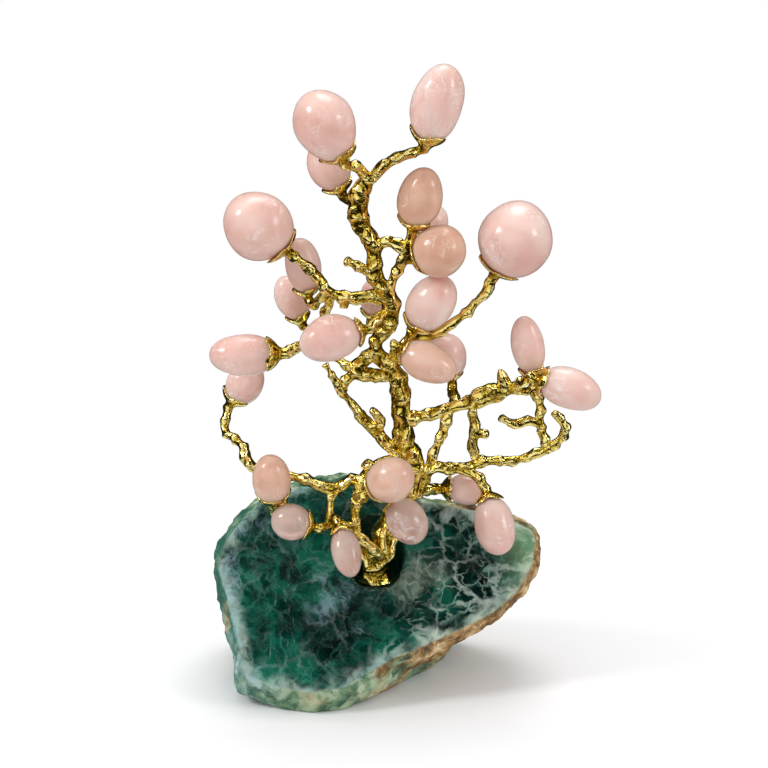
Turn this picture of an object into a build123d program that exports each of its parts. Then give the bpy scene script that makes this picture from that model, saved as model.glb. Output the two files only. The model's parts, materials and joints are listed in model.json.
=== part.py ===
from build123d import *
from dataclasses import dataclass
from math import cos, radians, sin, sqrt
import os

# Gemstone tree ornament: a gilt cast tree whose lobed cups hold rose quartz eggs,
# planted by a stud in a polished fluorite boulder.

# The front view that the tree was laid out on
VIEW_SPAN = 420.0  # real width that one whole share of the view covers at the trunk
VIEW_DISTANCE = 1150.0  # from the eye to the trunk
VIEW_ELEVATION = 18.0  # degrees that the eye looks down
VIEW_CENTRE_SHARE = 0.384

# The boulder
FACE_SLOPE = 48.0  # degrees of the polished face from level
FACE_LEAD = 9.5  # the polished face lies this far in front of the trunk's axis, at its foot
RIM_DEPTH = 12.0  # from the polished face back to the widest girdle
BACK_DEPTH = 46.0  # from the trunk's axis to the back of the boulder
BOSS_HEIGHT = 7.0  # the broken back stands out this far behind its edge
BOSS_SHARE = 0.56  # width of that boss, of the back's
RELIEF_HEIGHT = 4.2  # broken flanks stand in and out by this
FRONT_REACH_SHARE = 0.36  # of the way from the girdle to the back
BACK_REACH_SHARE = 0.70
POCKET_CLEARANCE = 2.4  # round the trunk's foot, where it stands in its pocket
POCKET_HEIGHT = 70.0
POCKET_FLARE = 10.0  # degrees

# The fixing under the trunk
STUD_RADIUS = 2.0
STUD_IN_TRUNK = 11.0
STUD_IN_STONE = 26.0
STUD_FIT = 0.05  # radial, where the stud is soldered into the trunk
RESIN_WALL = 0.8  # cured resin round the stud, in the stone's bore

# The gilt tree
TRUNK_RADIUS = 3.9
LIMB_RADIUS = 2.75
TWIG_RADIUS = 2.1
TIP_RADIUS = 1.65
BUD_RADIUS = 3.2
POINT_RADIUS = 0.8  # where a bud ends
WAIST_SHARE = 0.86  # girth between two knuckles of a limb
STEM_LENGTH = 1.8  # straight stem under each cup
KNUCKLE_ROOM = 3.5  # the last knuckle before a cup keeps this far from its stem
FLARE_SHARE = 0.23  # radius where the stem meets the cup, of the cup's width
CUP_BASE_WALL = 1.5
CUP_RIM_WALL = 0.7
CUP_NOTCH_SHARE = 0.32  # radius of the scallop between two lobes, of the cup's width
CUP_DIP_SHARE = 0.45  # how far that scallop dips, of the cup's depth
SETTING_GAP = 0.15  # glue film between egg and cup
PEG_RADIUS = 0.9
PEG_LENGTH = 4.0
PEG_FIT = 0.1  # round the peg and past its end, in the egg's drilled hole

EGG_SEAT_SHARE = 0.48  # of an egg's length, from its seat to its widest girth
ROUND_SHARE = 0.5523  # handle of a curve that rounds a quarter of an ellipse


@dataclass
class Egg:
    """A rose quartz egg: the place of its widest girth, how it leans, its size and its cup."""

    place_shares: tuple  # across, down and back in the front view
    lean: float  # degrees clockwise from upright
    tilt: float  # degrees towards the viewer
    length: float
    width: float
    cup_share: float  # width of the cup's rim, of the egg's
    seat_share: float = EGG_SEAT_SHARE
    lobes: int = 3


@dataclass
class Limb:
    """One run of gilt branch: the places it passes, its girth at both ends and the egg it carries."""

    route_shares: list
    root: float
    tip: float
    egg: str = ""
    stemmed: bool = True  # a straight stem comes before the cup


EGGS = {
    "crown_left": Egg(
        place_shares=(0.3235, 0.1225, -0.022), lean=-26, tilt=4, length=30.0, width=24.5,
        cup_share=0.64, seat_share=0.56),
    "crown_left_back": Egg(
        place_shares=(0.329, 0.166, 0.032), lean=-24, tilt=0, length=23.0, width=18.0,
        cup_share=0.7),
    "crown_right": Egg(
        place_shares=(0.437, 0.105, -0.005), lean=15, tilt=6, length=34.0, width=21.0,
        cup_share=0.74),
    "upper_tan": Egg(
        place_shares=(0.419, 0.202, -0.014), lean=12, tilt=6, length=25.5, width=18.0,
        cup_share=0.76, seat_share=0.42),
    "upper_hidden": Egg(
        place_shares=(0.431, 0.222, 0.048), lean=35, tilt=0, length=15.5, width=14.0,
        cup_share=0.68),
    "upper_round": Egg(
        place_shares=(0.439, 0.251, -0.022), lean=66, tilt=25, length=22.5, width=21.5,
        cup_share=0.68),
    "middle_right": Egg(
        place_shares=(0.431, 0.304, -0.008), lean=32, tilt=4, length=26.0, width=19.5,
        cup_share=0.68),
    "big_right": Egg(
        place_shares=(0.515, 0.2405, -0.004), lean=28, tilt=5, length=31.5, width=31.0,
        cup_share=0.52),
    "big_left": Egg(
        place_shares=(0.259, 0.227, -0.012), lean=-47, tilt=5, length=29.5, width=27.5,
        cup_share=0.56),
    "left_back_high": Egg(
        place_shares=(0.303, 0.267, 0.024), lean=-8, tilt=0, length=24.0, width=15.5,
        cup_share=0.68),
    "left_back_low": Egg(
        place_shares=(0.292, 0.299, 0.05), lean=-21, tilt=0, length=21.0, width=13.5,
        cup_share=0.8),
    "left_far": Egg(
        place_shares=(0.244, 0.355, -0.006), lean=-92, tilt=0, length=28.5, width=18.0,
        cup_share=0.76),
    "left_front": Egg(
        place_shares=(0.332, 0.338, -0.036), lean=-100, tilt=14, length=26.5, width=18.5,
        cup_share=0.6),
    "left_hidden": Egg(
        place_shares=(0.2445, 0.383, 0.04), lean=33, tilt=0, length=20.0, width=15.5,
        cup_share=0.8),
    "right_back": Egg(
        place_shares=(0.4465, 0.3545, 0.03), lean=-12, tilt=0, length=19.0, width=16.5,
        cup_share=0.62, seat_share=0.54),
    "right_front": Egg(
        place_shares=(0.4275, 0.362, -0.03), lean=115, tilt=14, length=25.0, width=16.0,
        cup_share=0.58),
    "right_far_high": Egg(
        place_shares=(0.528, 0.347, 0.002), lean=-11, tilt=0, length=26.5, width=14.0,
        cup_share=0.76),
    "right_far_low": Egg(
        place_shares=(0.569, 0.389, -0.026), lean=108, tilt=4, length=27.5, width=17.5,
        cup_share=0.66),
    "low_left": Egg(
        place_shares=(0.271, 0.48, -0.03), lean=-4, tilt=18, length=22.0, width=16.5,
        cup_share=0.82),
    "low_left_small": Egg(
        place_shares=(0.292, 0.522, -0.036), lean=-74, tilt=6, length=17.0, width=15.5,
        cup_share=0.74),
    "low_drop": Egg(
        place_shares=(0.346, 0.552, -0.052), lean=162, tilt=35, length=22.5, width=12.5,
        cup_share=0.7),
    "low_front": Egg(
        place_shares=(0.39, 0.48, -0.062), lean=54, tilt=30, length=21.5, width=18.5,
        cup_share=0.72),
    "low_middle": Egg(
        place_shares=(0.406, 0.521, -0.032), lean=145, tilt=30, length=21.5, width=17.0,
        cup_share=0.64),
    "low_right": Egg(
        place_shares=(0.4945, 0.524, -0.03), lean=164, tilt=28, length=25.5, width=17.5,
        cup_share=0.66),
    "low_right_back": Egg(
        place_shares=(0.466, 0.489, 0.014), lean=90, tilt=0, length=19.0, width=13.5,
        cup_share=0.78),
    "trunk_back": Egg(
        place_shares=(0.377, 0.297, 0.064), lean=15, tilt=0, length=18.0, width=14.5,
        cup_share=0.66),
}

TOE_SHARES = (0.319, 0.718, -0.100)  # where the boulder's front meets the floor

TRUNK_SHARES = [
    (0.376, 0.581, 0.0),
    (0.377, 0.560, 0.0),
    (0.385, 0.535, 0.0),
    (0.397, 0.510, 0.002),
    (0.410, 0.489, 0.003),
    (0.415, 0.470, 0.002),
    (0.410, 0.452, 0.0),
    (0.403, 0.437, -0.002),
    (0.401, 0.415, -0.003),
    (0.401, 0.394, -0.002),
    (0.398, 0.377, 0.0),
    (0.389, 0.363, 0.002),
    (0.378, 0.354, 0.003),
    (0.375, 0.344, 0.003),
    (0.382, 0.334, 0.003),
    (0.390, 0.320, 0.002),
    (0.392, 0.304, 0.0),
    (0.385, 0.290, -0.001),
    (0.376, 0.276, -0.002),
    (0.374, 0.260, -0.002),
    (0.375, 0.247, -0.001),
    (0.369, 0.237, 0.0),
    (0.361, 0.226, 0.001),
    (0.357, 0.211, 0.002),
    (0.358, 0.197, 0.002),
    (0.363, 0.186, 0.001),
    (0.370, 0.174, 0.0),
]
TRUNK_SWELL_SHARES = [
    1.85, 1.6, 1.45, 1.35, 1.3, 1.15, 1.2, 1.1, 0.95, 1.0, 1.15, 1.0, 0.9, 0.85, 0.85, 0.95, 1.05,
    1.05, 0.95, 0.85, 0.95, 0.9, 1.0, 1.1, 1.1, 1.0, 0.8,
]

# Each node of the tree: its limbs, the first being the one that carries the others
BRANCHES = {
    "left_stem": [
        Limb(
            [(0.372, 0.566, -0.006), (0.361, 0.548, -0.012), (0.354, 0.527, -0.012), (0.356, 0.504, -0.010),
             (0.362, 0.482, -0.008), (0.372, 0.468, -0.006), (0.386, 0.460, -0.004), (0.407, 0.455, 0.0)],
            LIMB_RADIUS, TWIG_RADIUS,
        ),
        Limb([(0.373, 0.467, -0.006), (0.366, 0.464, -0.012)], TWIG_RADIUS, TWIG_RADIUS),
    ],
    "crown_left_branch": [
        Limb([(0.370, 0.178, 0.0), (0.362, 0.171, -0.004), (0.353, 0.166, -0.012)],
             LIMB_RADIUS, TWIG_RADIUS, "crown_left"),
    ],
    "crown_right_branch": [
        Limb([(0.367, 0.181, 0.0), (0.381, 0.168, 0.0), (0.397, 0.159, -0.002), (0.412, 0.152, -0.004)],
             LIMB_RADIUS, TWIG_RADIUS, "crown_right"),
    ],
    "crown_back_twig": [
        Limb([(0.358, 0.200, 0.002), (0.352, 0.203, 0.020)], TWIG_RADIUS, TWIG_RADIUS, "crown_left_back"),
    ],
    "upper_fork": [
        Limb([(0.389, 0.297, 0.0), (0.391, 0.284, -0.002), (0.396, 0.272, -0.004), (0.402, 0.262, -0.006),
              (0.408, 0.252, -0.008), (0.409, 0.243, -0.010)], LIMB_RADIUS, TWIG_RADIUS, "upper_tan"),
        Limb([(0.403, 0.260, -0.006)], TWIG_RADIUS, TWIG_RADIUS, "upper_round"),
        Limb([(0.408, 0.252, -0.008), (0.409, 0.251, 0.018), (0.413, 0.248, 0.036)],
             TWIG_RADIUS, TIP_RADIUS, "upper_hidden"),
    ],
    "upper_rung": [
        Limb([(0.374, 0.246, -0.001), (0.388, 0.241, -0.004), (0.399, 0.245, -0.007), (0.408, 0.252, -0.008)],
             TWIG_RADIUS, TWIG_RADIUS),
    ],
    "upper_stub": [
        Limb([(0.376, 0.275, -0.002), (0.360, 0.267, -0.006), (0.344, 0.261, -0.010)],
             TWIG_RADIUS, TIP_RADIUS),
    ],
    "left_bough": [
        Limb([(0.390, 0.301, 0.0), (0.371, 0.296, -0.003), (0.355, 0.298, -0.004), (0.340, 0.296, -0.004),
              (0.327, 0.290, -0.004), (0.317, 0.279, -0.005), (0.307, 0.266, -0.007), (0.297, 0.259, -0.010)],
             LIMB_RADIUS, TWIG_RADIUS, "big_left"),
        Limb([(0.346, 0.297, -0.004), (0.344, 0.309, -0.006)], TWIG_RADIUS, TIP_RADIUS),
        Limb([(0.329, 0.291, -0.004), (0.321, 0.299, 0.008), (0.314, 0.304, 0.018)],
             TWIG_RADIUS, TWIG_RADIUS, "left_back_high"),
    ],
    "left_drop": [
        Limb([(0.332, 0.293, -0.004), (0.328, 0.307, 0.010), (0.323, 0.322, 0.026), (0.314, 0.331, 0.042)],
             TWIG_RADIUS, TWIG_RADIUS, "left_back_low"),
    ],
    "trunk_back_twig": [
        Limb([(0.389, 0.321, 0.002), (0.385, 0.329, 0.026), (0.377, 0.331, 0.050)],
             TWIG_RADIUS, TIP_RADIUS, "trunk_back"),
    ],
    "left_front_twig": [
        Limb([(0.391, 0.311, 0.0), (0.380, 0.317, -0.014), (0.373, 0.327, -0.026)],
             TWIG_RADIUS, TWIG_RADIUS, "left_front"),
    ],
    "cross_bar": [
        Limb([(0.398, 0.376, 0.0), (0.383, 0.377, 0.0), (0.368, 0.375, 0.0), (0.354, 0.373, 0.0),
              (0.346, 0.381, 0.0), (0.343, 0.393, 0.0)], BUD_RADIUS, TWIG_RADIUS),
        Limb([(0.376, 0.349, 0.003), (0.366, 0.357, 0.002), (0.358, 0.366, 0.0), (0.356, 0.374, 0.0)],
             BUD_RADIUS, BUD_RADIUS),
    ],
    "left_limb": [
        Limb([(0.406, 0.462, 0.001), (0.395, 0.453, 0.0), (0.386, 0.443, 0.0), (0.376, 0.431, 0.0),
              (0.363, 0.419, 0.0), (0.353, 0.406, 0.0), (0.342, 0.391, 0.0), (0.333, 0.378, 0.0),
              (0.325, 0.364, 0.001)], LIMB_RADIUS, TIP_RADIUS),
        Limb([(0.378, 0.434, 0.0), (0.381, 0.421, -0.003), (0.372, 0.410, -0.006)], TWIG_RADIUS, TIP_RADIUS),
    ],
    "left_middle_branch": [
        Limb([(0.355, 0.374, 0.0), (0.342, 0.362, 0.006), (0.328, 0.354, 0.010), (0.314, 0.349, 0.008),
              (0.299, 0.346, 0.002), (0.289, 0.350, -0.004)], TWIG_RADIUS, TWIG_RADIUS, "left_far"),
    ],
    "right_high_bough": [
        Limb([(0.395, 0.373, 0.001), (0.400, 0.357, 0.002), (0.405, 0.345, 0.002), (0.413, 0.338, 0.0),
              (0.425, 0.338, -0.002), (0.438, 0.333, -0.003), (0.452, 0.324, -0.003), (0.470, 0.310, -0.002),
              (0.484, 0.295, -0.002)], LIMB_RADIUS, TWIG_RADIUS, "big_right"),
        Limb([(0.412, 0.339, 0.0)], TWIG_RADIUS, TWIG_RADIUS, "middle_right", stemmed=False),
        Limb([(0.400, 0.357, 0.002), (0.396, 0.354, -0.010), (0.394, 0.350, -0.018)],
             TWIG_RADIUS, TWIG_RADIUS, "right_front"),
    ],
    "right_bough": [
        Limb([(0.402, 0.421, -0.003), (0.415, 0.418, -0.002), (0.429, 0.415, 0.0), (0.445, 0.409, 0.0),
              (0.463, 0.405, 0.0), (0.481, 0.402, 0.0), (0.497, 0.396, 0.001), (0.509, 0.389, 0.002),
              (0.520, 0.389, 0.002), (0.527, 0.392, 0.002)], LIMB_RADIUS, TWIG_RADIUS, "right_far_high"),
        Limb([(0.469, 0.404, 0.0), (0.479, 0.395, -0.004), (0.489, 0.391, -0.004), (0.499, 0.392, 0.0)],
             LIMB_RADIUS, BUD_RADIUS),
        Limb([(0.504, 0.393, 0.0), (0.504, 0.384, -0.003), (0.502, 0.376, -0.004), (0.500, 0.370, -0.005)],
             BUD_RADIUS, POINT_RADIUS),
        Limb([(0.515, 0.389, 0.002), (0.521, 0.382, -0.016), (0.527, 0.377, -0.024)],
             TWIG_RADIUS, TWIG_RADIUS, "right_far_low"),
    ],
    "right_back_twig": [
        Limb([(0.456, 0.407, 0.0), (0.455, 0.401, 0.012), (0.454, 0.395, 0.023)],
             TWIG_RADIUS, TWIG_RADIUS, "right_back"),
    ],
    "lower_bough": [
        Limb([(0.404, 0.499, 0.002), (0.416, 0.493, 0.0), (0.424, 0.481, -0.002), (0.430, 0.469, -0.003),
              (0.440, 0.466, -0.003), (0.453, 0.469, -0.003), (0.466, 0.467, -0.002), (0.479, 0.462, 0.0),
              (0.495, 0.460, 0.0), (0.511, 0.461, 0.0), (0.526, 0.457, 0.0), (0.540, 0.453, 0.0),
              (0.551, 0.447, 0.0)], LIMB_RADIUS, TWIG_RADIUS),
        Limb([(0.418, 0.490, 0.0), (0.429, 0.490, 0.006)], TWIG_RADIUS, TWIG_RADIUS, "low_right_back"),
        Limb([(0.457, 0.469, -0.003), (0.468, 0.473, -0.005), (0.479, 0.478, -0.008)],
             TWIG_RADIUS, TWIG_RADIUS, "low_right"),
    ],
    "inner_strut": [
        Limb([(0.449, 0.408, 0.0), (0.446, 0.423, -0.002), (0.440, 0.438, -0.003), (0.434, 0.454, -0.003),
              (0.430, 0.469, -0.003)], TWIG_RADIUS, TWIG_RADIUS),
    ],
    "outer_strut": [
        Limb([(0.472, 0.404, 0.0), (0.473, 0.418, 0.0), (0.475, 0.431, 0.0), (0.473, 0.446, 0.0),
              (0.475, 0.463, 0.0)], TWIG_RADIUS, TWIG_RADIUS),
        Limb([(0.475, 0.434, 0.0), (0.488, 0.434, -0.003)], TWIG_RADIUS, TIP_RADIUS),
    ],
    "hook_twig": [
        Limb([(0.545, 0.451, 0.0), (0.556, 0.444, -0.002), (0.564, 0.436, -0.004), (0.566, 0.427, -0.005),
              (0.560, 0.420, -0.005), (0.553, 0.413, -0.005)], TWIG_RADIUS, TIP_RADIUS),
    ],
    "right_riser": [
        Limb([(0.548, 0.449, 0.0), (0.543, 0.436, 0.0), (0.540, 0.423, 0.0), (0.541, 0.410, 0.002),
              (0.539, 0.399, 0.003), (0.531, 0.391, 0.002), (0.522, 0.389, 0.002)], TWIG_RADIUS, TWIG_RADIUS),
        Limb([(0.540, 0.424, 0.0), (0.527, 0.421, -0.003), (0.514, 0.424, -0.005), (0.501, 0.417, -0.006)],
             TWIG_RADIUS, TIP_RADIUS),
    ],
    "low_left_limb": [
        Limb([(0.361, 0.484, -0.008), (0.351, 0.478, -0.008), (0.341, 0.485, -0.008), (0.332, 0.489, -0.008),
              (0.320, 0.486, -0.006), (0.306, 0.480, -0.003), (0.291, 0.476, 0.0), (0.273, 0.474, 0.002),
              (0.256, 0.470, 0.002)], LIMB_RADIUS, TWIG_RADIUS),
        Limb([(0.286, 0.476, 0.0), (0.285, 0.492, -0.002), (0.281, 0.506, -0.008), (0.275, 0.513, -0.014)],
             TWIG_RADIUS, TWIG_RADIUS, "low_left"),
    ],
    "left_climber": [
        Limb([(0.266, 0.473, 0.002), (0.252, 0.467, 0.003), (0.244, 0.457, 0.006), (0.243, 0.446, 0.010),
              (0.236, 0.440, 0.016), (0.227, 0.436, 0.024), (0.224, 0.427, 0.032)],
             TWIG_RADIUS, TWIG_RADIUS, "left_hidden"),
    ],
    "low_loop": [
        Limb([(0.336, 0.488, -0.008), (0.331, 0.499, -0.012), (0.330, 0.511, -0.017), (0.335, 0.522, -0.020),
              (0.344, 0.526, -0.018), (0.355, 0.523, -0.012)], TWIG_RADIUS, TWIG_RADIUS),
        Limb([(0.334, 0.519, -0.020)], TWIG_RADIUS, TIP_RADIUS, "low_drop"),
        Limb([(0.330, 0.513, -0.018), (0.329, 0.525, -0.024), (0.325, 0.531, -0.031)],
             TWIG_RADIUS, TWIG_RADIUS, "low_left_small"),
    ],
    "low_front_twig": [
        Limb([(0.359, 0.492, -0.009), (0.359, 0.496, -0.024), (0.363, 0.499, -0.036)],
             TWIG_RADIUS, TWIG_RADIUS, "low_front"),
    ],
    "low_middle_twig": [
        Limb([(0.395, 0.512, 0.002), (0.391, 0.500, -0.006), (0.386, 0.491, -0.014)],
             TWIG_RADIUS, TIP_RADIUS, "low_middle"),
    ],
    "front_root": [
        Limb([(0.353, 0.530, -0.014), (0.362, 0.540, -0.024), (0.372, 0.549, -0.028), (0.382, 0.558, -0.022)],
             TWIG_RADIUS, TIP_RADIUS),
        Limb([(0.366, 0.544, -0.025), (0.371, 0.556, -0.027), (0.378, 0.567, -0.018)],
             TIP_RADIUS, TIP_RADIUS),
        Limb([(0.357, 0.534, -0.018), (0.359, 0.550, -0.024), (0.367, 0.566, -0.018)],
             TIP_RADIUS, TIP_RADIUS),
    ],
    "right_root": [
        Limb([(0.386, 0.526, -0.006), (0.383, 0.537, -0.016), (0.385, 0.549, -0.019), (0.388, 0.559, -0.018),
              (0.393, 0.551, -0.014), (0.393, 0.540, -0.010), (0.391, 0.528, -0.002)],
             TIP_RADIUS, TIP_RADIUS),
    ],
}

# What each branch is coped and brazed onto
BRAZED_ONTO = {
    "left_stem": ["trunk"],
    "crown_left_branch": ["trunk"],
    "crown_right_branch": ["trunk", "crown_left_branch"],
    "crown_back_twig": ["trunk"],
    "upper_fork": ["trunk"],
    "upper_rung": ["trunk", "upper_fork"],
    "upper_stub": ["trunk"],
    "left_bough": ["trunk", "upper_fork"],
    "left_drop": ["left_bough"],
    "trunk_back_twig": ["trunk"],
    "left_front_twig": ["trunk", "left_bough"],
    "left_limb": ["trunk", "left_stem"],
    "cross_bar": ["trunk", "left_limb"],
    "left_middle_branch": ["cross_bar", "left_limb"],
    "right_high_bough": ["trunk", "cross_bar"],
    "right_bough": ["trunk"],
    "right_back_twig": ["right_bough"],
    "lower_bough": ["trunk"],
    "inner_strut": ["right_bough", "lower_bough", "right_back_twig"],
    "outer_strut": ["right_bough", "lower_bough"],
    "hook_twig": ["lower_bough"],
    "right_riser": ["lower_bough", "right_bough", "hook_twig"],
    "low_left_limb": ["left_stem"],
    "left_climber": ["low_left_limb"],
    "low_loop": ["low_left_limb", "left_stem"],
    "low_front_twig": ["left_stem"],
    "low_middle_twig": ["trunk"],
    "front_root": ["left_stem", "trunk"],
    "right_root": ["trunk", "front_root"],
}

# Outlines of the boulder in the front view: its polished face, its girdle and its back
FACE_SHARES = [
    (0.262, 0.500), (0.300, 0.486), (0.345, 0.478), (0.385, 0.490), (0.420, 0.501), (0.468, 0.508),
    (0.512, 0.519), (0.535, 0.531), (0.537, 0.545), (0.533, 0.566), (0.519, 0.592), (0.497, 0.612),
    (0.465, 0.629), (0.430, 0.645), (0.403, 0.655), (0.378, 0.668), (0.345, 0.688), (0.310, 0.693),
    (0.270, 0.686), (0.242, 0.673), (0.238, 0.650), (0.228, 0.610), (0.217, 0.570), (0.225, 0.538),
    (0.245, 0.516),
]
GIRDLE_SHARES = [
    (0.257, 0.499), (0.298, 0.480), (0.345, 0.471), (0.388, 0.484), (0.420, 0.497), (0.468, 0.504),
    (0.514, 0.516), (0.539, 0.529), (0.543, 0.545), (0.540, 0.568), (0.524, 0.595), (0.501, 0.618),
    (0.470, 0.637), (0.432, 0.657), (0.402, 0.673), (0.378, 0.691), (0.345, 0.711), (0.312, 0.720),
    (0.265, 0.704), (0.236, 0.692), (0.231, 0.655), (0.221, 0.612), (0.211, 0.568), (0.220, 0.536),
    (0.240, 0.514),
]
BACK_SHARES = [
    (0.268, 0.516), (0.302, 0.496), (0.345, 0.486), (0.385, 0.492), (0.415, 0.500), (0.455, 0.512),
    (0.485, 0.524), (0.502, 0.538), (0.506, 0.550), (0.504, 0.562), (0.496, 0.575), (0.484, 0.592),
    (0.470, 0.612), (0.458, 0.636), (0.445, 0.664), (0.405, 0.674), (0.350, 0.674), (0.310, 0.674),
    (0.275, 0.670), (0.250, 0.656), (0.240, 0.620), (0.236, 0.590), (0.238, 0.560), (0.246, 0.540),
    (0.255, 0.526),
]
# How far each corner of the broken flanks stands out, of the relief: near the face, then near the back
FRONT_FLANK_SHARES = [
    0.5, -0.8, 0.4, 0.9, -0.6, 0.2, -0.9, 0.6, 0.9, -0.7, 0.3, 0.8, -0.5, 0.6, 0.2, 0.9, 0.3, 0.7, 0.2, 0.8,
    -0.6, 0.7, -0.9, 0.4, 0.9,
]
BACK_FLANK_SHARES = [
    -0.7, 0.6, 0.9, -0.5, 0.7, -0.8, 0.5, 0.9, -0.4, 0.8, 0.9, -0.6, 0.7, 0.1, 0.8, 0.3, 0.9, 0.2, 0.7, 0.4,
    0.9, -0.5, 0.8, 0.6, -0.8,
]


def up_and_ahead():
    """The upward and the forward direction of the front view."""
    down_angle = radians(VIEW_ELEVATION)
    return Vector(0, sin(down_angle), cos(down_angle)), Vector(0, cos(down_angle), -sin(down_angle))


def sight(across, down, plane):
    """The point of a plane that is seen at this place of the front view."""
    up, ahead = up_and_ahead()
    eye = ahead * -VIEW_DISTANCE
    aside = Vector((across - VIEW_CENTRE_SHARE) * VIEW_SPAN, 0, 0)
    ray = ahead * VIEW_DISTANCE + aside + up * ((VIEW_CENTRE_SHARE - down) * VIEW_SPAN)
    reach = (plane.origin - eye).dot(plane.z_dir) / ray.dot(plane.z_dir)
    return eye + ray * reach


def behind_trunk(back):
    """The upright plane at this depth behind the trunk's axis."""
    return Plane(origin=(0, back, 0), z_dir=(0, -1, 0))


def seen_at(place_shares):
    """The point at a place of the front view and a depth, before the origin is moved to the floor."""
    across, down, back = place_shares
    return sight(across, down, behind_trunk(back * VIEW_SPAN))


ORIGIN = Vector(seen_at(TRUNK_SHARES[0]).X, 0, seen_at(TOE_SHARES).Z)


def place(place_shares):
    """The point at a place of the front view and a depth, measured from the floor under the trunk."""
    return seen_at(place_shares) - ORIGIN


def corners(shares, plane):
    """The corners of an outline in a plane, as the front view shows it."""
    seen = Plane(origin=plane.origin + ORIGIN, z_dir=plane.z_dir)
    return [sight(across, down, seen) - ORIGIN for across, down in shares]


def middle(ring):
    """The centre of a ring of corners."""
    return sum(ring, Vector()) / len(ring)


def broken_ring(front, rear, reach, out_shares):
    """A ring between two others, a share of the way back, whose corners stand in and out."""
    ring = [a + (b - a) * reach for a, b in zip(front, rear)]
    centre = middle(ring)
    heights = [out * RELIEF_HEIGHT for out in out_shares]
    return [corner + (corner - centre).normalized() * height for corner, height in zip(ring, heights)]


def egg_axis(egg):
    """The direction from an egg's seat to its tip."""
    lean = radians(egg.lean)
    tilt = radians(egg.tilt)
    return Vector(cos(tilt) * sin(lean), -sin(tilt), cos(tilt) * cos(lean))


def egg_frame(egg):
    """The frame of an egg: origin at its widest girth, Z along its axis."""
    return Plane(origin=place(egg.place_shares), z_dir=egg_axis(egg))


def spun_egg(half_width, to_seat, to_tip):
    """An egg spun about Z, widest at its origin."""
    handle = half_width * ROUND_SHARE
    lower = Bezier((0, -to_seat), (handle, -to_seat), (half_width, -to_seat * ROUND_SHARE), (half_width, 0))
    upper = Bezier((half_width, 0), (half_width, to_tip * ROUND_SHARE), (handle, to_tip), (0, to_tip))
    axis = Line((0, to_tip), (0, -to_seat))
    profile = make_face([lower, upper, axis])
    return revolve(Plane.XZ * profile, Axis.Z)


def seat_length(egg):
    """From an egg's seat to its widest girth."""
    return egg.length * egg.seat_share


def cup_width(egg):
    """Across the rim of an egg's cup."""
    return egg.width * egg.cup_share


def peg(egg, fit):
    """The peg from a cup's wall into an egg's drilled hole, or the hole itself with its fit."""
    root = SETTING_GAP + CUP_BASE_WALL / 2
    height = root + PEG_LENGTH + fit
    return Pos(0, 0, -seat_length(egg) - root) * Cylinder(
        PEG_RADIUS + fit, height, align=(Align.CENTER, Align.CENTER, Align.MIN))


def egg_solid(egg):
    """A rose quartz egg, drilled for its peg."""
    seat = seat_length(egg)
    stone = spun_egg(egg.width / 2, seat, egg.length - seat) - peg(egg, PEG_FIT)
    return egg_frame(egg) * stone


def cup_hollow(egg):
    """The room that a cup leaves for its egg and the glue."""
    seat = seat_length(egg) + SETTING_GAP
    return egg_frame(egg) * spun_egg(egg.width / 2 + SETTING_GAP, seat, egg.length - seat)


def cup_solid(egg):
    """The outside of a cup with a lobed rim."""
    seat = seat_length(egg) + SETTING_GAP
    half_width = egg.width / 2 + SETTING_GAP
    rim = -seat * sqrt(1 - (cup_width(egg) / 2 / half_width) ** 2)
    bowl = spun_egg(half_width + CUP_RIM_WALL, seat + CUP_BASE_WALL, seat)
    room = egg.length + egg.width
    keep = Pos(0, 0, rim) * Box(room, room, room, align=(Align.CENTER, Align.CENTER, Align.MAX))
    bowl = bowl & keep
    notch_radius = cup_width(egg) * CUP_NOTCH_SHARE
    dip = (seat + rim) * CUP_DIP_SHARE
    notch = Pos(0, 0, rim - dip + notch_radius) * Rot(0, 90, 0) * Cylinder(
        notch_radius, egg.width, align=(Align.CENTER, Align.CENTER, Align.MIN))
    for lobe in range(egg.lobes):
        bowl = bowl - Rot(0, 0, lobe * 360 / egg.lobes) * notch
    return egg_frame(egg) * bowl


def stem_points(egg):
    """Where the straight stem under a cup starts, and where it ends inside the cup's wall."""
    axis = egg_axis(egg)
    pole = place(egg.place_shares) - axis * (seat_length(egg) + SETTING_GAP + CUP_BASE_WALL)
    return [pole - axis * STEM_LENGTH, pole + axis * (CUP_BASE_WALL / 2)]


def knuckled(points, radii):
    """A round limb through its knuckles, drawn in at the waist between each two of them."""
    stations = [points[0]]
    girths = [radii[0]]
    for here, there, girth, next_girth in zip(points, points[1:], radii, radii[1:]):
        stations += [(here + there) / 2, there]
        girths += [(girth + next_girth) / 2 * WAIST_SHARE, next_girth]
    runs = [(b - a).normalized() for a, b in zip(stations, stations[1:])]
    headings = [runs[0]] + [(a + b).normalized() for a, b in zip(runs, runs[1:])] + [runs[-1]]
    across = Plane(origin=stations[0], z_dir=headings[0]).x_dir
    sections = []
    for station, heading, girth in zip(stations, headings, girths):
        across = across - heading * across.dot(heading)
        across = across.normalized()
        sections.append(Plane(origin=station, x_dir=across, z_dir=heading) * Circle(girth))
    return loft(sections, ruled=True)


def limb_solid(limb):
    """One limb, ending in a stem that flares into its cup where it carries an egg."""
    points = [place(shares) for shares in limb.route_shares]
    if limb.egg:
        stem_start, stem_end = stem_points(EGGS[limb.egg])
        points[1:] = [point for point in points[1:] if (point - stem_start).length > KNUCKLE_ROOM]
    runs = max(len(points) - 1, 1)
    radii = [limb.root + (limb.tip - limb.root) * step / runs for step in range(len(points))]
    if limb.egg:
        if limb.stemmed:
            points.append(stem_start)
            radii.append(limb.tip)
        points.append(stem_end)
        radii.append(cup_width(EGGS[limb.egg]) * FLARE_SHARE)
    return knuckled(points, radii)


def largest(body):
    """What is left of a limb outside its carrier, without the crumbs that coping leaves on the far side."""
    return max(body.solids(), key=lambda solid: solid.volume)


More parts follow.
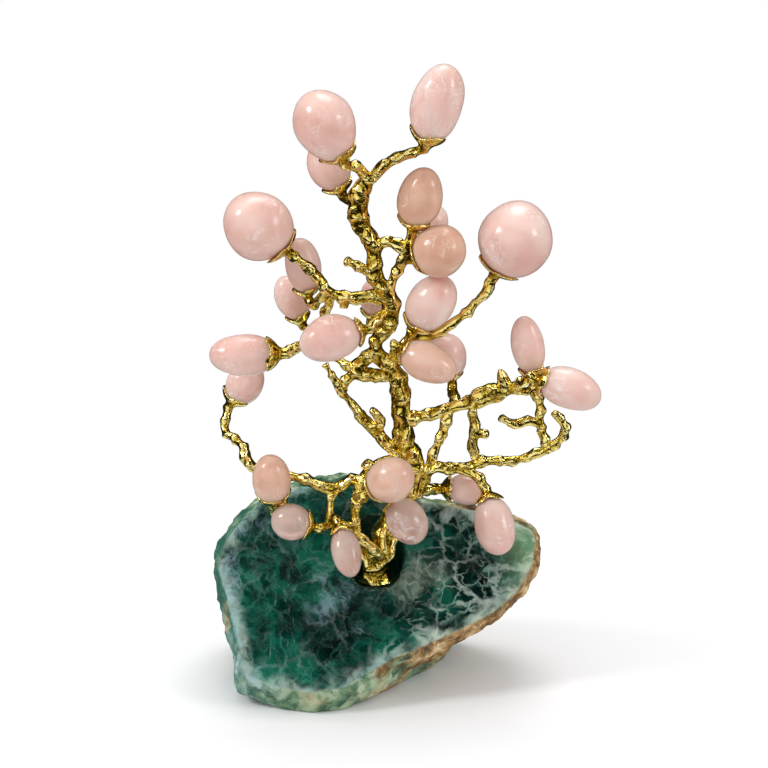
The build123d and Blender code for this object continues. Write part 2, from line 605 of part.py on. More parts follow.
def branch_solid(name, carriers):
    """A branch with its cups and pegs, coped to what it is brazed onto."""
    limbs = BRANCHES[name]
    eggs = [EGGS[limb.egg] for limb in limbs if limb.egg]
    body = limb_solid(limbs[0])
    for limb in limbs[1:]:
        body = body + limb_solid(limb)
    for egg in eggs:
        body = body + cup_solid(egg)
    for egg in eggs:
        body = body - cup_hollow(egg)
        body = body + egg_frame(egg) * peg(egg, 0)
    for carrier in carriers:
        body = body - carrier
    return largest(body)


def trunk_solid():
    """The trunk, level under its foot and drilled there for the stud."""
    points = [place(shares) for shares in TRUNK_SHARES]
    foot = points[0]
    points[1] = Vector(foot.X, foot.Y, points[1].Z)
    trunk = knuckled(points, [TRUNK_RADIUS * swell for swell in TRUNK_SWELL_SHARES])
    bore = Pos(foot) * Cylinder(STUD_RADIUS + STUD_FIT, STUD_IN_TRUNK + STUD_FIT,
                                align=(Align.CENTER, Align.CENTER, Align.MIN))
    return trunk - bore


def boulder_solid(foot):
    """The boulder: ruled flanks between its rings, sawn flat below, with the trunk's pocket and bore."""
    slope = radians(FACE_SLOPE)
    normal = Vector(0, -sin(slope), cos(slope))
    face = Plane(origin=foot + Vector(0, -FACE_LEAD, 0), z_dir=normal)
    girdle = face.offset(-RIM_DEPTH)
    front = corners(GIRDLE_SHARES, girdle)
    rear = corners(BACK_SHARES, behind_trunk(BACK_DEPTH - BOSS_HEIGHT))
    centre = middle(rear)
    boss = [centre + (corner - centre) * BOSS_SHARE + Vector(0, BOSS_HEIGHT, 0) for corner in rear]
    rings = [
        corners(FACE_SHARES, face),
        front,
        broken_ring(front, rear, FRONT_REACH_SHARE, FRONT_FLANK_SHARES),
        broken_ring(front, rear, BACK_REACH_SHARE, BACK_FLANK_SHARES),
        rear,
        boss,
    ]
    boulder = Solid.make_loft([Wire.make_polygon(ring) for ring in rings], ruled=True)
    below = boulder.bounding_box().size.length
    boulder = Part(boulder.wrapped) - Box(below, below, below, align=(Align.CENTER, Align.CENTER, Align.MAX))
    floor_radius = TRUNK_RADIUS * TRUNK_SWELL_SHARES[0] + POCKET_CLEARANCE
    pocket = extrude(Pos(foot) * Circle(floor_radius), amount=POCKET_HEIGHT, taper=-POCKET_FLARE)
    bore = Pos(foot) * Cylinder(STUD_RADIUS + RESIN_WALL, STUD_IN_STONE + RESIN_WALL,
                                align=(Align.CENTER, Align.CENTER, Align.MAX))
    return boulder - pocket - bore


def stud_solid(foot):
    """The rod that holds the trunk in the boulder."""
    return Pos(foot - Vector(0, 0, STUD_IN_STONE)) * Cylinder(
        STUD_RADIUS, STUD_IN_STONE + STUD_IN_TRUNK, align=(Align.CENTER, Align.CENTER, Align.MIN))


def resin_solid(foot, stud):
    """The cured resin round the stud."""
    sleeve = Pos(foot) * Cylinder(STUD_RADIUS + RESIN_WALL, STUD_IN_STONE + RESIN_WALL,
                                  align=(Align.CENTER, Align.CENTER, Align.MAX))
    return sleeve - stud


def main():
    foot = place(TRUNK_SHARES[0])
    pieces = {"trunk": trunk_solid()}
    for name, carriers in BRAZED_ONTO.items():
        pieces[name] = branch_solid(name, [pieces[carrier] for carrier in carriers])
    for name, egg in EGGS.items():
        pieces["quartz_" + name] = egg_solid(egg)
    pieces["fluorite_base"] = boulder_solid(foot)
    pieces["fixing_stud"] = stud_solid(foot)
    pieces["fixing_resin"] = resin_solid(foot, pieces["fixing_stud"])
    os.makedirs("parts", exist_ok=True)
    for name, piece in pieces.items():
        export_step(piece, f"parts/{name}.step")
        print(name, len(piece.solids()), round(piece.volume))


main()
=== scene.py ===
# %% [markdown]
# # A gilt tree of rose quartz eggs on a fluorite boulder
#
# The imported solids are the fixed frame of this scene. Every piece below starts from the solid
# it stands for, so it is already in its place and only its surface has to be worked.

import json
import math

import bpy
import numpy as np
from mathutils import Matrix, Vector
from mathutils.kdtree import KDTree

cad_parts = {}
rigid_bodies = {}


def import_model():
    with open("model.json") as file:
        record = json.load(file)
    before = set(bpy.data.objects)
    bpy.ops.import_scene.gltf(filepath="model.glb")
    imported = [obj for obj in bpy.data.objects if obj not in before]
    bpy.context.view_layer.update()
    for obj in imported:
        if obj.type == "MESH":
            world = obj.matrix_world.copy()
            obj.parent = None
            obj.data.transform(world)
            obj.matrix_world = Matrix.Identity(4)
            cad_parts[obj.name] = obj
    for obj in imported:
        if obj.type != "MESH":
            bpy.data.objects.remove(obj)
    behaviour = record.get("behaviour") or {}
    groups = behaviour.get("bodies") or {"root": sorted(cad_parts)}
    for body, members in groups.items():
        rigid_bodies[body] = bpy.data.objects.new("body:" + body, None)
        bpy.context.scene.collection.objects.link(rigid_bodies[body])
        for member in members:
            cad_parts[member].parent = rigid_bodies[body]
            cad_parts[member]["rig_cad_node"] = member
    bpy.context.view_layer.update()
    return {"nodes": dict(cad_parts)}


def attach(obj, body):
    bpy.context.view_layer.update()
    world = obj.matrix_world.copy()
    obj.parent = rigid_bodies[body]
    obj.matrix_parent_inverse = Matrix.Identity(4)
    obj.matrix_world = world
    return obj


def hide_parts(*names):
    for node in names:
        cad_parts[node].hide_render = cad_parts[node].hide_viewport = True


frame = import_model()
nodes = frame["nodes"]
scene = bpy.context.scene
scene.view_settings.view_transform = "Standard"
print(len(nodes), "solids in the frame")

# %% [markdown]
# ## Camera
#
# The tree was laid out on a front view, looked at from 18 degrees above level and 1.15 m away.
# The camera repeats that view, so each egg lands where the layout put it. A long lens keeps the
# eggs at the edge from stretching.

# %% Camera
VIEW_DISTANCE = 1.15
VIEW_ELEVATION = math.radians(18)
VIEW_WIDTH = 0.32256
AIM = Vector((0.00344, 0.0, 0.134))

camera_data = bpy.data.cameras.new("front_view")
camera_data.sensor_width = 36.0
camera_data.lens = camera_data.sensor_width * VIEW_DISTANCE / VIEW_WIDTH
camera = bpy.data.objects.new("front_view", camera_data)
scene.collection.objects.link(camera)
toward_eye = Vector((0, -math.cos(VIEW_ELEVATION), math.sin(VIEW_ELEVATION)))
camera.location = AIM + toward_eye * VIEW_DISTANCE
camera.rotation_euler = (math.pi / 2 - VIEW_ELEVATION, 0, 0)
scene.camera = camera
print("lens", round(camera_data.lens, 1))

# %% [markdown]
# ## Shader arithmetic
#
# Node trees are easier to follow as formulas. A wire stands for one output of a node: adding or
# multiplying two wires adds a Math node, and `make` adds any other node.


# %% A wire between shader nodes
class Wire:
    """One output of a shader node, which can be used in a formula."""

    def __init__(self, tree, socket):
        self.tree = tree
        self.socket = socket

    def make(self, kind, settings=None, inputs=None, output=0):
        """Adds a node: its settings come first, then the values or wires of its inputs."""
        node = self.tree.nodes.new(kind)
        for name, value in (settings or {}).items():
            if name == "stops":
                ramp = node.color_ramp
                while len(ramp.elements) < len(value):
                    ramp.elements.new(1.0)
                for element, (place, colour) in zip(ramp.elements, value):
                    element.position = place
                    element.color = (*colour, 1.0)
            else:
                setattr(node, name, value)
        for name, value in (inputs or {}).items():
            if isinstance(value, Wire):
                self.tree.links.new(value.socket, node.inputs[name])
            else:
                node.inputs[name].default_value = value
        return Wire(self.tree, node.outputs[output])

    def maths(self, operation, first, second=0.0):
        return self.make("ShaderNodeMath", {"operation": operation}, {0: first, 1: second})

    def __add__(self, other):
        return self.maths("ADD", self, other)

    __radd__ = __add__

    def __sub__(self, other):
        return self.maths("SUBTRACT", self, other)

    def __rsub__(self, other):
        return self.maths("SUBTRACT", other, self)

    def __mul__(self, other):
        return self.maths("MULTIPLY", self, other)

    __rmul__ = __mul__

    def fade(self, low, high):
        """0 where this is under low, 1 where it is over high, and a smooth step between."""
        return self.make(
            "ShaderNodeMapRange", {"interpolation_type": "SMOOTHSTEP"}, {0: self, 1: low, 2: high}
        )

    def ramp(self, *stops):
        """A colour read from stops of (value, colour)."""
        return self.make("ShaderNodeValToRGB", {"stops": stops}, {0: self})

    def stored(self, name):
        """The value that a piece's points carry under this name."""
        return self.make("ShaderNodeAttribute", {"attribute_name": name}, {}, "Fac")

    def bump(self, strength, distance):
        """A surface normal that follows this height."""
        inputs = {"Strength": strength, "Distance": distance, "Height": self}
        return self.make("ShaderNodeBump", {}, inputs)

    def line(self, width, level=0.5):
        """1 where this passes through a level, fading out on both sides."""
        return 1.0 - self.maths("ABSOLUTE", self - level).fade(0.0, width)

    def near(self, spot, low, high):
        """1 at a spot, fading out between these two distances from it."""
        inputs = {0: self, 1: spot}
        away = self.make("ShaderNodeVectorMath", {"operation": "DISTANCE"}, inputs, 1)
        return 1.0 - away.fade(low, high)

    def part(self, axis):
        """One coordinate of a place."""
        return self.make("ShaderNodeSeparateXYZ", {}, {0: self}, axis)

    def noise(self, scale, detail=3.0, twist=0.0):
        return self.make(
            "ShaderNodeTexNoise",
            {},
            {"Vector": self, "Scale": scale, "Detail": detail, "Distortion": twist},
        )

    def cells(self, scale, feature="DISTANCE_TO_EDGE", output="Distance"):
        return self.make(
            "ShaderNodeTexVoronoi", {"feature": feature}, {"Vector": self, "Scale": scale}, output
        )

    def blend(self, first, second):
        """Two colours mixed, this wire being the share of the second."""
        inputs = {"Factor": self, 6: first, 7: second}
        return self.make("ShaderNodeMix", {"data_type": "RGBA"}, inputs, 2)

    def shifted(self, amount, scale, detail=2.0):
        """This place pushed about by noise, so that a pattern on it wanders."""
        inputs = {"Vector": self, "Scale": scale, "Detail": detail}
        colour = self.make("ShaderNodeTexNoise", {}, inputs, 1)
        push = self.make(
            "ShaderNodeVectorMath", {"operation": "SUBTRACT"}, {0: colour, 1: (0.5, 0.5, 0.5)}
        )
        push = self.make("ShaderNodeVectorMath", {"operation": "SCALE"}, {0: push, "Scale": amount})
        return self.make("ShaderNodeVectorMath", {"operation": "ADD"}, {0: self, 1: push})


def rgb(red, green, blue):
    """A colour as a painter reads it, 0 to 255, in the linear values that shaders use."""
    shares = [value / 255 for value in (red, green, blue)]
    return tuple(s / 12.92 if s <= 0.04045 else ((s + 0.055) / 1.055) ** 2.4 for s in shares)


def opaque(colour):
    return (*colour, 1.0)


def new_finish(name):
    """A material with one principled shader, and the wire of its Object coordinates."""
    finish = bpy.data.materials.new(name)
    finish.use_nodes = True
    tree = finish.node_tree
    shader = tree.nodes["Principled BSDF"]
    place = Wire(tree, tree.nodes.new("ShaderNodeTexCoord").outputs["Object"])
    return finish, shader, place


def feed(shader, name, wire):
    wire.tree.links.new(wire.socket, shader.inputs[name])


print("shader helpers ready")

# %% [markdown]
# ## Floor and light
#
# The ornament stands on a white sweep. The floor is a disc whose edge fades out, so only the
# soft shadow under the boulder shows. Polished gold is a mirror and looks flat in an all-white
# room, so it needs something dark to reflect, as in a photographer's light tent. Separate cards
# could be hung round it. One black drum with three windows cut out of it is easier to adjust:
# only reflections see it, so it takes no light from the stones.

# %% World
world = bpy.data.worlds.new("studio")
scene.world = world
world.use_nodes = True
sky = world.node_tree.nodes["Background"]
start = Wire(world.node_tree, None)
RAYS = ("Is Camera Ray", "Is Glossy Ray", "Is Transmission Ray")
rays = [start.make("ShaderNodeLightPath", {}, {}, name) for name in RAYS]
seen = start.maths("MAXIMUM", rays[0], start.maths("MAXIMUM", rays[1], rays[2]))
AMBIENT = 0.78
feed(sky, "Strength", AMBIENT + seen * (1.0 - AMBIENT))
sky.inputs["Color"].default_value = (1, 1, 1, 1)
print("world ready")

# %% Floor
FLOOR_RADIUS = 0.9
FLOOR_FADE = (0.07, 0.24)
bpy.ops.object.select_all(action="DESELECT")
bpy.ops.mesh.primitive_circle_add(
    vertices=96, radius=FLOOR_RADIUS, fill_type="NGON", location=(0, 0, 0)
)
floor = bpy.context.object
floor.name = "floor"
floor_finish, floor_shader, floor_place = new_finish("white_floor")
floor_shader.inputs["Base Color"].default_value = (0.81, 0.81, 0.82, 1)
floor_shader.inputs["Roughness"].default_value = 0.9
floor_shader.inputs["Specular IOR Level"].default_value = 0.0
distance = floor_place.make("ShaderNodeVectorMath", {"operation": "LENGTH"}, {0: floor_place}, 1)
feed(floor_shader, "Alpha", 1.0 - distance.fade(*FLOOR_FADE))
floor.data.materials.append(floor_finish)
print("floor radius", FLOOR_RADIUS)

# %% Dark panels
PANEL_RADIUS = 2.2
PANEL_HEIGHT = 5.8
WINDOWS = (  # bearings from +X and elevations, in degrees, that are left open
    (205, 290, -10, 38),
    (90, 235, 56, 90),
    (330, 345, -25, 50),
)
bpy.ops.object.select_all(action="DESELECT")
bpy.ops.mesh.primitive_cylinder_add(
    vertices=24, radius=PANEL_RADIUS, depth=PANEL_HEIGHT, end_fill_type="TRIFAN", location=(0, 0, 0)
)
panels = bpy.context.object
panels.name = "dark_panels"
bpy.ops.object.mode_set(mode="EDIT")
bpy.ops.mesh.subdivide(number_cuts=5)
bpy.ops.mesh.select_all(action="DESELECT")
bpy.ops.object.mode_set(mode="OBJECT")
for face in panels.data.polygons:
    toward = face.center
    bearing = math.degrees(math.atan2(toward.y, toward.x)) % 360
    elevation = math.degrees(math.atan2(toward.z, math.hypot(toward.x, toward.y)))
    face.select = any(a < bearing < b and low < elevation < high for a, b, low, high in WINDOWS)
bpy.ops.object.mode_set(mode="EDIT")
bpy.ops.mesh.delete(type="FACE")
bpy.ops.object.mode_set(mode="OBJECT")
panel_finish, panel_shader, _ = new_finish("black_felt")
panel_shader.inputs["Base Color"].default_value = (0.0, 0.0, 0.0, 1)
panel_shader.inputs["Emission Color"].default_value = (0.024, 0.021, 0.010, 1)
panel_shader.inputs["Emission Strength"].default_value = 1.0
panel_shader.inputs["Specular IOR Level"].default_value = 0.0
panels.data.materials.append(panel_finish)
panels.visible_camera = False
panels.visible_shadow = False
panels.visible_diffuse = False
panels.visible_transmission = False
print(len(panels.data.polygons), "dark panels")


# %% Lamps
def softbox(name, place, aim, size, power):
    """A square lamp that faces a point."""
    data = bpy.data.lights.new(name, "AREA")
    data.shape = "SQUARE"
    data.size = size
    data.energy = power
    lamp = bpy.data.objects.new(name, data)
    scene.collection.objects.link(lamp)
    lamp.location = place
    lamp.rotation_euler = (Vector(aim) - Vector(place)).to_track_quat("-Z", "Y").to_euler()
    return lamp


softbox("key", (-1.35, -0.4, 1.2), (0, 0, 0.12), 0.45, 13)
softbox("fill", (1.2, -0.6, 0.8), (0, 0, 0.12), 0.5, 5)
softbox("top", (0.1, 0.5, 1.6), (0, 0, 0.12), 0.8, 10)
print("three softboxes")

# %% [markdown]
# ## Working a solid's surface
#
# A cast or tumbled piece has no flat facets. Its relief could be sculpted by hand, or faked by a
# bump in the finish. Sculpting can't be repeated, and a bump leaves the outline smooth. So a copy
# of each solid is merged, rebuilt as an even skin of small faces, smoothed and displaced by a
# texture, with weights that keep the relief off the places that stay smooth.


# %% Helpers for a copy's skin
def copy_of(node, name):
    """A copy of a solid with its loose triangles merged."""
    bpy.ops.object.select_all(action="DESELECT")
    piece = nodes[node].copy()
    piece.data = nodes[node].data.copy()
    piece.name = name
    del piece["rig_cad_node"]
    scene.collection.objects.link(piece)
    piece.select_set(True)
    bpy.context.view_layer.objects.active = piece
    piece.data.materials.clear()
    bpy.ops.object.mode_set(mode="EDIT")
    bpy.ops.mesh.select_all(action="SELECT")
    bpy.ops.mesh.remove_doubles(threshold=1e-6)
    bpy.ops.object.mode_set(mode="OBJECT")
    return piece


def apply(piece, kind, **settings):
    """Adds a modifier with these settings and applies it."""
    modifier = piece.modifiers.new(kind.lower(), kind)
    for name, value in settings.items():
        setattr(modifier, name, value)
    bpy.ops.object.modifier_apply(modifier=modifier.name)


def skin(piece, voxel, passes):
    """An even skin, smoothed."""
    apply(piece, "REMESH", mode="VOXEL", voxel_size=voxel)
    apply(piece, "SMOOTH", factor=0.5, iterations=passes)
    bpy.ops.object.shade_smooth()


def relief(name, kind, size, **settings):
    """A texture for displacement, with features of this size."""
    texture = bpy.data.textures.new(name, kind)
    texture.noise_scale = size
    for key, value in settings.items():
        setattr(texture, key, value)
    return texture


def displace(piece, texture, height, level, group=""):
    """Moves the points in and out by a texture, where a vertex group lets it."""
    apply(
        piece,
        "DISPLACE",
        texture=texture,
        strength=height,
        mid_level=level,
        vertex_group=group,
        texture_coords="LOCAL",
    )


def points_of(piece, what="co"):
    values = np.empty(len(piece.data.vertices) * 3)
    piece.data.vertices.foreach_get(what, values)
    return values.reshape(-1, 3)


def weigh(piece, name, weights):
    """A vertex group with one weight for each point."""
    group = piece.vertex_groups.new(name=name)
    for step in range(21):
        share = step / 20
        members = np.nonzero(np.abs(weights - share) <= 0.025)[0]
        group.add(members.tolist(), share, "REPLACE")


def note(piece, name, values):
    """Stores one value for each point, for the finish to read."""
    layer = piece.data.attributes.new(name, "FLOAT", "POINT")
    layer.data.foreach_set("value", values.astype(np.float32))


def note_hollows(piece, reach, depth):
    """Stores how far each point lies below its smoothed neighbourhood: 1 is a hollow, 0 a ridge."""
    points = points_of(piece)
    edges = np.empty(len(piece.data.edges) * 2, dtype=np.int64)
    piece.data.edges.foreach_get("vertices", edges)
    a, b = edges.reshape(-1, 2).T
    links = np.bincount(np.concatenate([a, b]), minlength=len(points))[:, None]
    smooth = points.copy()
    for _ in range(reach):
        total = np.zeros_like(points)
        np.add.at(total, a, smooth[b])
        np.add.at(total, b, smooth[a])
        smooth = total / np.maximum(links, 1)
    below = ((smooth - points) * points_of(piece, "normal")).sum(1)
    note(piece, "hollow", np.clip(0.5 + below / depth, 0, 1))


def stand_for(piece, node, finish):
    piece.data.materials.clear()
    piece.data.materials.append(finish)
    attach(piece, "root")
    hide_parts(node)


print("skin helpers ready")

# %% [markdown]
# ## Gilt branches
#
# The tree is a lost-wax casting with a heavy gold plate. Its bark looks like wax dripped and
# pushed with a hot tool: swollen knuckles, short ridges and pits. The plate is bright on the
# ridges and turns olive, brown and nearly black in the pits and furrows: partly the patina of old
# gilding, partly painted shade and painted dark reflections in the hollows. A noise alone could
# colour it, but would miss the real hollows, so each point stores how deep it lies and the finish
# reads that. A second stored value keeps the relief and the furrows off the cups, which stay
# smooth and bright.

# %% Gilt finish
gilt, gilt_shader, place = new_finish("gilt_brass")
hollow = place.stored("hollow")
streaks = place.noise(190.0, 3.0, 1.8)
bark = place.stored("bark_share")
furrows = place.noise(150.0, 3.0, 1.8).line(0.05) * bark
# Hollows and furrows darken the plate towards olive and near black: partly patina, partly painted shade
# and painted dark reflection.
tone = hollow * 0.72 + streaks * 0.26 + furrows * 0.14
plate = tone.ramp(
    (0.28, (1.00, 0.84, 0.30)),
    (0.41, (0.80, 0.58, 0.090)),
    (0.53, (0.40, 0.275, 0.026)),
    (0.67, (0.050, 0.034, 0.004)),
)
feed(gilt_shader, "Base Color", plate)
gilt_shader.inputs["Metallic"].default_value = 1.0
feed(gilt_shader, "Roughness", 0.07 + 0.10 * place.noise(300.0) + 0.20 * hollow.fade(0.6, 0.95))
crumple = place.noise(220.0, 2.0, 1.8) - 0.25 * furrows
feed(gilt_shader, "Normal", crumple.bump(0.4, 0.0008))
print("gilt finish ready")

# %% Bark relief
swell = relief("bark_swell", "CLOUDS", 0.0085, noise_depth=1)
ridges = relief(
    "bark_ridges",
    "MUSGRAVE",
    0.0075,
    musgrave_type="RIDGED_MULTIFRACTAL",
    octaves=2.0,
    noise_intensity=1.0,
)
pits = relief("bark_pits", "VORONOI", 0.0046)
BARK_RELIEF = (  # texture, height in metres, level that stays put
    (swell, 0.0013, 0.5),
    (ridges, 0.0010, 0.5),
    (pits, 0.0004, 0.4),
)
GILT_VOXEL = 0.00042

eggs = sorted(name for name in nodes if name.startswith("quartz_"))
egg_points = KDTree(sum(len(nodes[name].data.vertices) for name in eggs))
at = 0
for name in eggs:
    for vertex in nodes[name].data.vertices:
        egg_points.insert(vertex.co, at)
        at += 1
egg_points.balance()
print(at, "points on", len(eggs), "eggs")


# %% Branches
def bark_weights(piece):
    """1 on the bark, falling to a little on the cups."""
    away = np.array([egg_points.find(Vector(point))[2] for point in points_of(piece)])
    return np.clip((away - 0.0012) / 0.004, 0.12, 1.0)


def gilded(node):
    piece = copy_of(node, "gilt_" + node)
    skin(piece, GILT_VOXEL, 6)
    weights = bark_weights(piece)
    weigh(piece, "bark", weights)
    note(piece, "bark_share", weights)
    for texture, height, level in BARK_RELIEF:
        displace(piece, texture, height, level, "bark")
    apply(piece, "SMOOTH", factor=0.5, iterations=8)
    note_hollows(piece, 18, 0.0010)
    stand_for(piece, node, gilt)
    return piece


branches = sorted(set(nodes) - set(eggs) - {"fluorite_base", "fixing_stud", "fixing_resin"})
faces = 0
for node in branches:
    faces += len(gilded(node).data.polygons)
print(len(branches), "gilt pieces,", faces, "faces")

# %% [markdown]
# ## Rose quartz eggs
#
# The stones are tumbled, so none is quite round. Rose quartz is milky: light goes in, scatters
# and comes out pinker, with pale veils and healed cracks inside. A cloudy volume inside clear
# glass would be nearest to that, but it is slow and noisy to render. Scattering under the surface
# gives the same glow, and a thin coat gives the polish. Four finishes differ in tint and in how
# clear the stone is: rose, tan, peach and a pale, clearer rose.


# %% Quartz finishes
def quartz(name, light, middle, deep, veil, clear):
    """A milky stone: three body colours, the colour of its veils and how clear it is."""
    finish, shader, place = new_finish(name)
    cloud = place.noise(55.0, 3.0, 0.6)
    body = cloud.ramp((0.3, light), (0.52, middle), (0.72, deep))
    wisps = place.noise(105.0, 3.0, 2.5).line(0.035)
    veiled = 0.52 - 0.16 * clear
    patches = place.noise(70.0, 2.0).fade(veiled, veiled + 0.18)
    specks = place.noise(800.0, 2.0).fade(0.64, 0.74)
    pale = wisps * patches * (0.55 + 0.7 * clear) + specks * patches * 0.4
    feed(shader, "Base Color", pale.blend(body, opaque(veil)))
    feed(shader, "Roughness", 0.16 + 0.14 * cloud)
    shader.inputs["IOR"].default_value = 1.54
    shader.inputs["Transmission Weight"].default_value = clear
    shader.inputs["Subsurface Weight"].default_value = 0.9
    shader.inputs["Subsurface Radius"].default_value = (1.0, 0.7, 0.65)
    shader.inputs["Subsurface Scale"].default_value = 0.007
    shader.inputs["Specular IOR Level"].default_value = 0.3
    shader.inputs["Coat Weight"].default_value = 0.2
    shader.inputs["Coat Roughness"].default_value = 0.05
    return finish


rose = quartz(
    "rose_quartz", rgb(247, 221, 213), rgb(241, 206, 195), rgb(231, 187, 175), rgb(255, 246, 243), 0.25
)
tan = quartz(
    "tan_quartz", rgb(238, 203, 181), rgb(229, 187, 163), rgb(212, 166, 142), rgb(250, 232, 216), 0.3
)
peach = quartz(
    "peach_quartz", rgb(244, 214, 197), rgb(237, 198, 177), rgb(223, 178, 156), rgb(253, 240, 230), 0.3
)
pale_rose = quartz(
    "pale_rose_quartz", rgb(247, 224, 214), rgb(236, 200, 187), rgb(180, 140, 128), rgb(255, 250, 247), 0.5
)
TAN_STONES = {"quartz_upper_tan", "quartz_upper_round"}
PEACH_STONES = {"quartz_low_front", "quartz_right_front", "quartz_low_left"}
PALE_STONES = {"quartz_low_left_small", "quartz_low_middle", "quartz_low_drop"}
special = {node: tan for node in TAN_STONES} | {node: peach for node in PEACH_STONES}
special |= {node: pale_rose for node in PALE_STONES}
print("four quartz finishes")

# %% Eggs
tumble = relief("tumbled", "CLOUDS", 0.017, noise_depth=0)
ripple = relief("polish_ripple", "CLOUDS", 0.006, noise_depth=0)
EGG_VOXEL = 0.0007


def tumbled(node):
    piece = copy_of(node, "polished_" + node)
    skin(piece, EGG_VOXEL, 26)
    displace(piece, tumble, 0.0014, 0.4)
    displace(piece, ripple, 0.00015, 0.5)
    slot_name = "tan_quartz" if node in TAN_STONES else "rose_quartz"
    stand_for(piece, node, special.get(node, rose))
    return piece


faces = 0
for node in eggs:
    faces += len(tumbled(node).data.polygons)
print(len(eggs), "eggs,", faces, "faces")

# %% [markdown]
# ## Fluorite boulder
#
# One face is cut and polished: deep emerald fluorite in cells of a few millimetres, with a net
# of white seams and frosty patches. The flanks are left as they broke, with chipped crystals
# along the rim, green-white in front and tan crust at the right. The pocket round the trunk's
# foot is painted nearly black, as painted shade in the recess. Each zone could be a material of
# its own, but then it would end in a hard line. One finish reads stored values for the rim, the
# broken sides and the pocket, and its place on the stone, and blends the zones into each other.

# %% Green body and seams
fluorite, fluorite_shader, place = new_finish("fluorite")
across = place.part(0)
height = place.part(2)
ragged = place.shifted(0.012, 60.0, 4.0).shifted(0.006, 320.0, 5.0)
crystal = ragged.cells(105.0, "F1", "Color").part(0)
grain = ragged.cells(290.0, "F1", "Color").part(0)
tone = place.noise(36.0, 6.0, 0.8) + 0.14 * crystal + 0.10 * grain - 0.12
green = tone.ramp(
    (0.30, rgb(1, 14, 13)),
    (0.42, rgb(3, 34, 29)),
    (0.54, rgb(5, 62, 50)),
    (0.66, rgb(16, 90, 72)),
    (0.80, rgb(64, 134, 112)),
)
rim = place.stored("rim")
right_half = (across + 0.03 * place.noise(30.0)).fade(0.010, 0.045)
seam_patches = (place.noise(26.0, 3.0) + 0.16 * right_half + 0.3 * rim).fade(0.46, 0.66)
broken_up = place.noise(120.0, 4.0).fade(0.36, 0.66)
fine = (1.0 - ragged.cells(150.0).fade(0.0, 0.10 + 0.35 * rim)) * broken_up
coarse = 1.0 - ragged.cells(62.0).fade(0.0, 0.08 + 0.30 * rim)
coarse = coarse * place.noise(75.0, 5.0).fade(0.40, 0.62)
veils = place.noise(60.0, 8.0, 1.0).line(0.05) * place.noise(40.0, 3.0).fade(0.44, 0.62)
net = fine * (0.20 + 0.40 * seam_patches)
whiter = (right_half + rim).fade(0.1, 0.9)
stone = net.blend(green, whiter.blend(opaque(rgb(54, 122, 104)), opaque(rgb(156, 182, 166))))
stone = (coarse * (0.10 + 0.42 * whiter)).blend(stone, opaque(rgb(190, 206, 196)))
stone = (veils * 0.25).blend(stone, opaque(rgb(70, 140, 124)))
print("face of the boulder ready")

# %% Frost, rim, crust and the pocket's painted shade
flank = place.stored("broken_side")
pocket = place.stored("pocket")
cloud = ragged.noise(70.0, 8.0, 0.4)
left_side = 1.0 - across.fade(-0.070, -0.040)
right_end = (across + 0.4 * height).fade(0.068, 0.098)
below_foot = place.near((-0.006, -0.016, 0.043), 0.004, 0.028)
beside_foot = place.near((0.019, -0.010, 0.049), 0.004, 0.017)
frost = (cloud + 0.20 * left_side + 0.14 * below_foot).fade(0.60, 0.80)
flakes = 1.0 - ragged.cells(230.0).fade(0.0, 0.30)
stone = (frost * (0.10 + 0.40 * flakes)).blend(stone, opaque(rgb(140, 172, 182)))
milky = beside_foot * cloud.fade(0.38, 0.60)
stone = (milky * (0.25 + 0.45 * flakes)).blend(stone, opaque(rgb(152, 168, 150)))
stone = (right_end * (0.35 + 0.5 * cloud)).blend(stone, opaque(rgb(136, 178, 134)))
edge = (rim + 2.2 * (cloud - 0.5)).fade(0.55, 1.15)
pale = right_half.blend(opaque(rgb(140, 178, 176)), opaque(rgb(196, 208, 184)))
stone = (edge * (0.2 + 0.5 * flakes)).blend(stone, pale)
facets = ragged.cells(430.0, "F1", "Color").part(0)
chips = 0.86 * place.noise(130.0, 9.0) + 0.12 * facets
shell = chips.ramp(
    (0.34, rgb(22, 66, 50)),
    (0.46, rgb(66, 108, 80)),
    (0.56, rgb(122, 150, 118)),
    (0.68, rgb(198, 206, 186)),
)
crust = chips.ramp(
    (0.34, rgb(74, 52, 30)),
    (0.46, rgb(134, 102, 62)),
    (0.56, rgb(184, 150, 102)),
    (0.68, rgb(226, 204, 164)),
)
lower_right = across.fade(-0.030, 0.045) * (1.0 - place.part(1).fade(-0.010, 0.030))
rightward = across.fade(-0.030, 0.060)
crusted = (place.noise(28.0, 8.0, 0.8) + 0.16 * rightward + 0.10 * lower_right).fade(0.54, 0.68)
shell = (left_side * 0.6).blend(shell, opaque(rgb(40, 100, 92)))
front_foot = (1.0 - place.part(1).fade(-0.025, 0.005)) * (1.0 - height.fade(0.012, 0.034))
bluish = 1.0 - across.fade(-0.062, -0.030)
frosted = bluish.blend(opaque(rgb(176, 194, 160)), opaque(rgb(172, 200, 208)))
foot_frost = front_foot * (0.10 + 0.75 * ragged.noise(95.0, 8.0, 0.5).fade(0.40, 0.60))
shell = foot_frost.blend(shell, frosted)
sides = crusted.blend(shell, crust)
stone = flank.blend(stone, sides)
# The pocket is painted dark green-black: painted shade in the recess round the trunk's foot.
stone = (pocket * 0.8).blend(stone, opaque(rgb(10, 30, 24)))
feed(fluorite_shader, "Base Color", stone)
feed(fluorite_shader, "Roughness", 0.16 + 0.14 * frost + 0.40 * flank + 0.12 * edge + 0.10 * net)
fluorite_shader.inputs["IOR"].default_value = 1.43
fluorite_shader.inputs["Specular IOR Level"].default_value = 0.18
bumps = ragged.cells(150.0).fade(0.0, 0.16) + 0.8 * place.noise(200.0, 5.0)
bumps = bumps + flank * (1.6 * chips + 0.7 * facets)
feed(fluorite_shader, "Normal", bumps.bump(0.35, 0.0008))
print("fluorite finish ready")

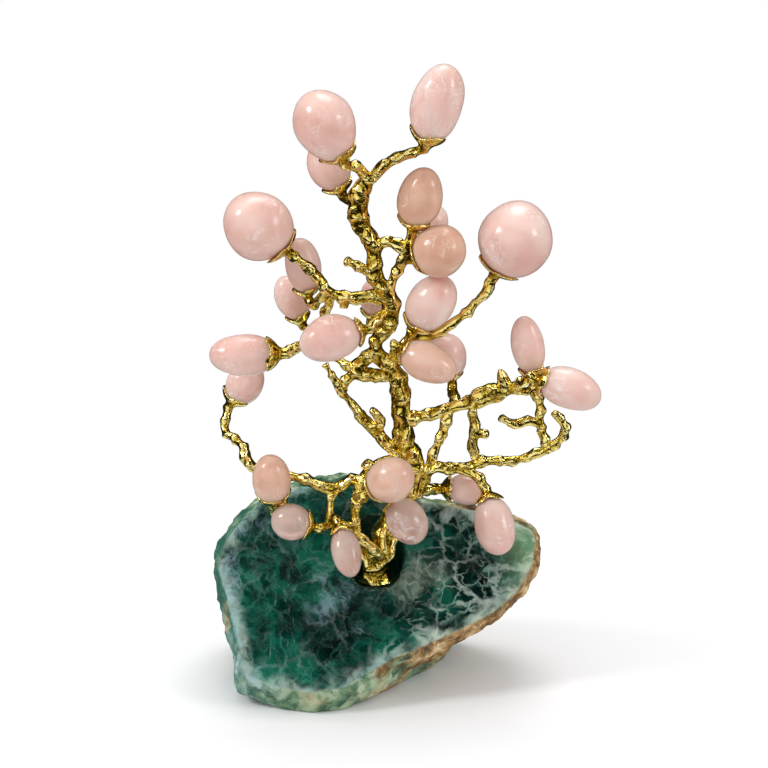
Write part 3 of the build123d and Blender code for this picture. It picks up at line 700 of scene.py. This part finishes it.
# %% Boulder
FACE_SLOPE = math.radians(48)
POCKET_REACH = 0.017
POCKET_FLOOR = 0.010
BOULDER_VOXEL = 0.0010
RIM_REACH = 0.008
face_normal = np.array([0, -math.sin(FACE_SLOPE), math.cos(FACE_SLOPE)])
broken = relief("broken_stone", "VORONOI", 0.008)
chipped = relief("chipped_stone", "CLOUDS", 0.004, noise_depth=3)
wavy = relief("wavy_face", "CLOUDS", 0.016, noise_depth=2)
boulder = copy_of("fluorite_base", "boulder")
skin(boulder, BOULDER_VOXEL, 14)
points = points_of(boulder)
facing = points_of(boulder, "normal") @ face_normal
off_sole = np.clip((points[:, 2] - 0.0006) / 0.002, 0, 1)
flank_share = np.clip((0.96 - facing) / 0.22, 0, 1)
near_trunk = np.hypot(points[:, 0], points[:, 1]) < POCKET_REACH
in_pocket = near_trunk & (points[:, 2] > POCKET_FLOOR) & (flank_share > 0.3)
print(len(points), "points on the boulder,", int(in_pocket.sum()), "in the pocket")


# %% Where the boulder is broken
outside = np.nonzero((flank_share > 0.5) & ~in_pocket)[0]
brink = KDTree(len(outside))
for index in outside:
    brink.insert(Vector(points[index]), int(index))
brink.balance()
to_brink = np.array([brink.find(Vector(point))[2] for point in points])
note(boulder, "rim", np.clip(1 - to_brink / RIM_REACH, 0, 1))
note(boulder, "broken_side", np.where(in_pocket, 0, flank_share))
note(boulder, "pocket", in_pocket.astype(float))
weigh(boulder, "flank", np.where(in_pocket, 0.3, flank_share) * off_sole)
weigh(boulder, "above_sole", off_sole)
for texture, height_of, level, group in (
    (broken, 0.0024, 0.55, "flank"),
    (chipped, 0.0018, 0.55, "flank"),
    (wavy, 0.0012, 0.5, "above_sole"),
):
    displace(boulder, texture, height_of, level, group)
points = points_of(boulder)
points[:, 2] = np.maximum(points[:, 2], 0)
boulder.data.vertices.foreach_set("co", points.ravel())
boulder.data.update()
stand_for(boulder, "fluorite_base", fluorite)
print(len(boulder.data.polygons), "faces on the boulder")

# %% [markdown]
# ## Stud and resin
#
# The rod and its resin are inside the stone. They keep their solids and get plain finishes, in
# case the part is taken apart.

# %% Hidden pieces
rod, rod_shader, place = new_finish("turned_rod")
feed(rod_shader, "Roughness", 0.22 + 0.18 * place.noise(900.0))
rod_shader.inputs["Base Color"].default_value = opaque((0.75, 0.58, 0.25))
rod_shader.inputs["Metallic"].default_value = 1.0
cured, cured_shader, place = new_finish("cured_resin")
haze = place.noise(220.0)
feed(cured_shader, "Base Color", haze.blend(opaque(rgb(214, 204, 172)), opaque(rgb(196, 182, 146))))
cured_shader.inputs["Roughness"].default_value = 0.35
for node, finish in (("fixing_stud", rod), ("fixing_resin", cured)):
    nodes[node].data.materials.clear()
    nodes[node].data.materials.append(finish)
print("hidden pieces finished")
